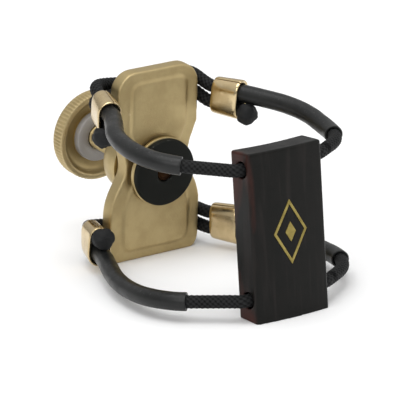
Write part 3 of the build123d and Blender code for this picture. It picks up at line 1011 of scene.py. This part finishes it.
    # ------------------------------------------------ sleeves
    def build_sleeve(self, side: str) -> None:
        """Builds the rubber sleeve from inside its ferrule to its open end."""
        run = self.left_run if side == "left" else self.right_run
        rear, mouth = (run[-2], run[-4]) if side == "left" else (run[2], run[4])
        inside = Vector(rear).lerp(Vector(mouth), 0.35)
        bounds = sorted((self.route.nearest(inside), self.route.nearest(self.sleeve_ends[side])))
        mesh = bmesh.new()
        ring, edges = self.first_ring(mesh, self.around)
        for number, index in enumerate(range(bounds[0], bounds[1] + 1, 3)):
            if number:
                ring, edges = self.grown(mesh, ring, edges)
            way, across = self.route.way(index), self.route.sides[index]
            for place, vert in enumerate(ring):
                turn = 2 * math.pi * place / len(ring)
                out = across * math.cos(turn) + way.cross(across) * math.sin(turn)
                ripple = noise.noise((self.route.points[index] + out * MM) / MM * 0.45) * 0.025
                vert.co = self.route.points[index] + out * (self.sleeve_radius + ripple) * MM
        bmesh.ops.recalc_face_normals(mesh, faces=mesh.faces)
        sleeve = new_piece(mesh, f"{self.name}_{side}_rubber_sleeve", 60)
        wall = sleeve.modifiers.new("wall", "SOLIDIFY")
        wall.thickness = self.sleeve_wall * MM
        wall.offset = -1
        rounded = sleeve.modifiers.new("cut_edge", "BEVEL")
        rounded.width = 0.07 * MM
        rounded.segments = 2
        rounded.limit_method = "ANGLE"
        dress(sleeve, Slot.SLEEVE_RUBBER, f"{self.name}_{side}_sleeve")
        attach(sleeve, f"{side}_side")

    # ------------------------------------------------ ferrules
    def ferrule_outline(self, share: float, is_up: bool) -> list[tuple[float, float]]:
        """Outline of the ferrule's skin at a share of its length, across and up, in millimetres."""
        fit = self.ferrule_clear + self.ferrule_wall
        big = self.cord_radius + (self.sleeve_radius - self.cord_radius) * share + fit
        small = self.cord_radius + fit
        upper, lower = (big, small) if is_up else (small, big)
        outline = []
        count = 72
        for number in range(count):
            turn = 2 * math.pi * number / count
            rise = math.sin(turn)
            radius = lower + (upper - lower) * (0.5 + 0.5 * math.tanh(3 * rise))
            up = radius * rise + self.pinch * math.tanh(2.6 * rise)
            crease = 1 - 0.04 * math.exp(-((up / 0.9) ** 2))
            outline.append((radius * math.cos(turn) * crease, up))
        return outline

    def build_ferrule(self, side: str) -> None:
        """Builds the crimped ferrule: an oval skin, creased between its strands, with a seam."""
        is_left = side == "left"
        run = self.left_run if is_left else self.right_run
        rear, mouth = (run[-2], run[-4]) if is_left else (run[2], run[4])
        tail = self.left_tail[4] if is_left else self.right_tail[2]
        way = (Vector(mouth) - Vector(rear)).normalized()
        centre = (Vector(rear) + Vector(tail)) / 2
        is_up = rear[2] > tail[2]
        up = (Vector(rear) - Vector(tail)).normalized() * (1 if is_up else -1)
        across = up.cross(way)
        mesh = bmesh.new()
        count = len(self.ferrule_outline(0, True))
        ring, edges = self.first_ring(mesh, count)
        rings = [ring]
        steps = self.ferrule_steps
        for number in range(steps + 1):
            share = number / steps
            if number:
                ring, edges = self.grown(mesh, ring, edges)
                rings.append(ring)
            swell = self.swell(share)
            for vert, (x, y) in zip(ring, self.ferrule_outline(share, is_up)):
                grow = 1 + swell / math.hypot(x, y)
                place = centre + way * share * self.ferrule_length
                vert.co = (place + across * x * grow + up * y * grow) * MM
        self.open_seam(mesh, rings, is_left)
        bmesh.ops.recalc_face_normals(mesh, faces=mesh.faces)
        ferrule = new_piece(mesh, f"{self.name}_{side}_crimped_ferrule", 70)
        wall = ferrule.modifiers.new("wall", "SOLIDIFY")
        wall.thickness = self.ferrule_wall * MM
        wall.offset = -1
        lips = ferrule.modifiers.new("lips", "BEVEL")
        lips.width = 0.13 * MM
        lips.segments = 3
        lips.limit_method = "ANGLE"
        lips.angle_limit = math.radians(50)
        dress(ferrule, Slot.POLISHED_BRASS, f"{self.name}_{side}_ferrule")
        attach(ferrule, f"{side}_side")

    def swell(self, share: float) -> float:
        """Returns how far the ferrule's skin stands out at a share of its length, in millimetres."""
        rear, mouth = math.exp(-share / 0.035), math.exp((share - 1) / 0.035)
        return self.ferrule_swell * (0.6 + 0.4 * share) - 0.2 * rear - 0.16 * mouth

    def open_seam(self, mesh: bmesh.types.BMesh, rings: list[list[object]], is_left: bool) -> None:
        """Opens the narrow straight slit where the ferrule's strip meets.

        Args:
            mesh: The ferrule's skin.
            rings: Its rings of vertices, from the rear to the mouth.
            is_left: Whether it is a left ferrule, whose slit leans towards the plate.
        """
        turn = math.atan2(0.94, 0.34 if is_left else -0.34)
        column = round(len(rings[0]) * turn / (2 * math.pi))
        edge = {vert for ring in rings for vert in (ring[column], ring[column + 1])}
        gone = [face for face in mesh.faces if all(vert in edge for vert in face.verts)]
        bmesh.ops.delete(mesh, geom=gone, context="FACES")


RINGS = (
    Ring(
        "upper",
        left_tail=[
            (-12.85, 10.55, 22.25), (-11.26, 10.74, 23.03), (-10.82, 12.22, 23.44),
            (-10.02, 14.91, 24.17), (-9.77, 15.75, 24.40), (-8.82, 18.95, 25.27),
        ],
        under=[(-7.33, 18.90, 25.45), (6.91, 18.39, 27.14)],
        right_run=[
            (8.40, 18.34, 27.32), (9.34, 14.99, 25.69), (9.85, 13.92, 25.57), (10.24, 13.11, 25.47),
            (11.86, 9.70, 25.09), (16.20, 1.03, 24.15), (15.95, -7.30, 22.30), (13.85, -11.35, 22.40),
            (8.84, -14.33, 22.39), (7.80, -14.93, 22.39), (6.20, -14.93, 22.39),
        ],
        left_run=[
            (-5.30, -14.93, 22.39), (-6.90, -14.93, 22.39), (-7.83, -14.18, 22.52),
            (-16.25, -8.15, 23.60), (-15.95, 2.43, 24.40), (-11.58, 9.35, 25.26),
            (-11.24, 10.78, 25.63), (-10.20, 14.31, 26.59), (-9.95, 15.14, 26.82), (-9.00, 18.34, 27.69),
        ],
        over=[(-5.78, 20.74, 27.16), (5.07, 20.88, 25.36)],
        right_tail=[
            (8.29, 18.57, 24.83), (9.23, 15.22, 23.20), (9.74, 14.15, 23.08), (10.13, 13.34, 22.99),
            (11.37, 10.74, 22.69), (12.00, 9.40, 22.50), (11.65, 8.15, 22.20),
        ],
        sleeve_ends={"left": (-13.1, -10.4, 23.22), "right": (14.95, -9.0, 22.34)},
        right_fold=(18.2, 15.0),
        left_fold=(6.6, 9.1),
    ),
    Ring(
        "lower",
        left_tail=[
            (-11.85, 12.40, 6.04), (-11.50, 13.47, 5.56), (-11.12, 15.01, 5.58),
            (-10.35, 17.81, 5.61), (-10.11, 18.67, 5.62), (-9.72, 20.07, 5.64),
        ],
        under=[(-8.24, 20.09, 5.43), (7.82, 20.25, 3.11)],
        right_run=[
            (9.30, 20.26, 2.89), (9.30, 15.97, 2.86), (9.85, 14.90, 2.87), (10.26, 14.10, 2.88),
            (12.01, 10.73, 2.92), (16.55, 2.43, 3.00), (17.15, -7.30, 2.80), (14.55, -12.25, 2.90),
            (8.83, -15.82, 3.11), (7.80, -16.44, 3.15), (6.20, -16.44, 3.15),
        ],
        left_run=[
            (-5.30, -16.44, 3.15), (-6.90, -16.44, 3.15), (-7.79, -15.64, 3.13),
            (-16.25, -8.95, 3.00), (-15.95, 2.23, 2.20), (-11.62, 12.70, 3.05),
            (-11.36, 14.17, 3.07), (-10.34, 17.83, 3.11), (-10.10, 18.70, 3.12), (-9.71, 20.10, 3.14),
        ],
        over=[(-5.67, 22.49, 3.62), (5.25, 22.60, 4.91)],
        right_tail=[
            (9.29, 20.28, 5.39), (9.29, 15.99, 5.36), (9.84, 14.92, 5.37), (10.25, 14.12, 5.38),
            (11.59, 11.54, 5.41), (12.32, 10.12, 5.42), (12.38, 8.92, 6.08),
        ],
        sleeve_ends={"left": (-13.2, -11.3, 3.05), "right": (16.2, -9.1, 2.83)},
        right_fold=(19.4, 15.2),
        left_fold=(7.4, 9.9),
    ),
)


# ---------------------------------------------------------------- plate and block
@dataclass
class PlateAndBlock:
    """Blasted plate and polished reed block, both softened copies of their nodes."""

    plate_voxel: float = 0.16
    plate_passes: int = 20
    block_voxel: float = 0.11
    block_passes: int = 5

    def build(self) -> None:
        """Builds both pieces and finishes the ornament."""
        plate = softened("body_plate", "blasted_plate", self.plate_voxel, self.plate_passes)
        dress(plate, Slot.SATIN_BRASS, "body_plate")
        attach(plate, "plate")
        block = softened("reed_block", "wooden_block", self.block_voxel, self.block_passes)
        dress(block, Slot.DARK_WOOD, "reed_block")
        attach(block, "block")
        refinish("block_ornament", Slot.GILT_INLAY)


# ---------------------------------------------------------------- studio
@dataclass(frozen=True)
class SoftBox:
    """A square studio light that looks at the object."""

    name: str
    place: Point
    size: float
    radiance: float

    def build(self, target: Vector) -> None:
        """Sets up the light, aimed at the target."""
        light = bpy.data.lights.new(self.name, "AREA")
        light.size = self.size
        light.energy = self.radiance * math.pi * self.size**2
        lamp = bpy.data.objects.new(self.name, light)
        lamp.location = self.place
        lamp.rotation_mode = "QUATERNION"
        lamp.rotation_quaternion = (target - Vector(self.place)).to_track_quat("-Z", "Y")
        bpy.context.scene.collection.objects.link(lamp)


@dataclass
class Studio:
    """Pale floor, soft light and the camera."""

    azimuth: float = -34.77
    elevation: float = 17.41
    roll: float = -0.74
    distance: float = 0.5312
    lens: float = 324.0
    shift: tuple[float, float] = (-0.0234, -0.0391)
    target: Point = (0, 0.00163, 0.015)
    floor_size: float = 6.0

    def build(self) -> None:
        """Sets the stage."""
        self.build_camera()
        self.build_floor()
        self.build_world()
        aim = Vector(self.target)
        for box in (
            SoftBox("top_box", (-0.1, -0.05, 0.7), 0.55, 2.5),
            SoftBox("key_box", (-0.55, -0.35, 0.42), 0.38, 2.6),
            SoftBox("right_box", (0.6, -0.45, 0.3), 0.4, 1.2),
        ):
            box.build(aim)

    def build_camera(self) -> None:
        """Sets the camera with a long lens, turned about its own axis by the roll."""
        turn, rise = math.radians(self.azimuth), math.radians(self.elevation)
        back = Vector((math.sin(turn) * math.cos(rise), -math.cos(turn) * math.cos(rise), math.sin(rise)))
        data = bpy.data.cameras.new("view")
        data.lens = self.lens
        data.shift_x, data.shift_y = self.shift
        camera = bpy.data.objects.new("view", data)
        camera.rotation_mode = "QUATERNION"
        facing = (-back).to_track_quat("-Z", "Y")
        camera.rotation_quaternion = facing @ Matrix.Rotation(math.radians(self.roll), 3, "Z").to_quaternion()
        camera.location = Vector(self.target) + back * self.distance
        bpy.context.scene.collection.objects.link(camera)
        bpy.context.scene.camera = camera

    def build_floor(self) -> None:
        """Lays the floor under the object's lowest point."""
        mesh = bmesh.new()
        bmesh.ops.create_grid(mesh, x_segments=1, y_segments=1, size=self.floor_size / 2)
        bmesh.ops.translate(mesh, verts=mesh.verts, vec=(0, 0, cad_low.z - 0.02 * MM))
        floor = new_piece(mesh, "floor")
        paper = Finish(
            "paper", (0.97, 0.97, 0.97), (0.96, 0.96, 0.96), 0.9, 0.03, specular=0.1, cloud_scale=20
        )
        floor.data.materials.append(paper.build())

    def build_world(self) -> None:
        """Surrounds the object with soft light, brighter above than near the horizon."""
        world = bpy.data.worlds.new("studio")
        bpy.context.scene.world = world
        world.use_nodes = True
        world.node_tree.nodes.clear()
        maker = NodeMaker(world.node_tree)
        way = maker.add("ShaderNodeSeparateXYZ", {0: maker.add("ShaderNodeTexCoord").outputs["Generated"]})
        light = maker.mix(maker.span(way.outputs[2], -0.1, 0.9), (0.5, 0.5, 0.5), (1.0, 1.0, 1.0))
        sky = maker.add("ShaderNodeBackground", {"Color": light, "Strength": 0.8})
        maker.add("ShaderNodeOutputWorld", {"Surface": sky.outputs[0]})
        bpy.context.scene.view_settings.view_transform = "Standard"


def main() -> None:
    """Builds the finishes, the object's pieces and the studio."""
    logging.basicConfig(level=logging.INFO, format="%(name)s: %(message)s")
    for build in (build_blasted, build_wear_and_corner_shade, build_lathe, build_wood, build_dust):
        build()
    for finish in FINISHES.values():
        finish.build()
    PlateAndBlock().build()
    ThrustScrew().build()
    for ring in RINGS:
        ring.build()
    Studio().build()


if __name__ == "__main__":
    main()
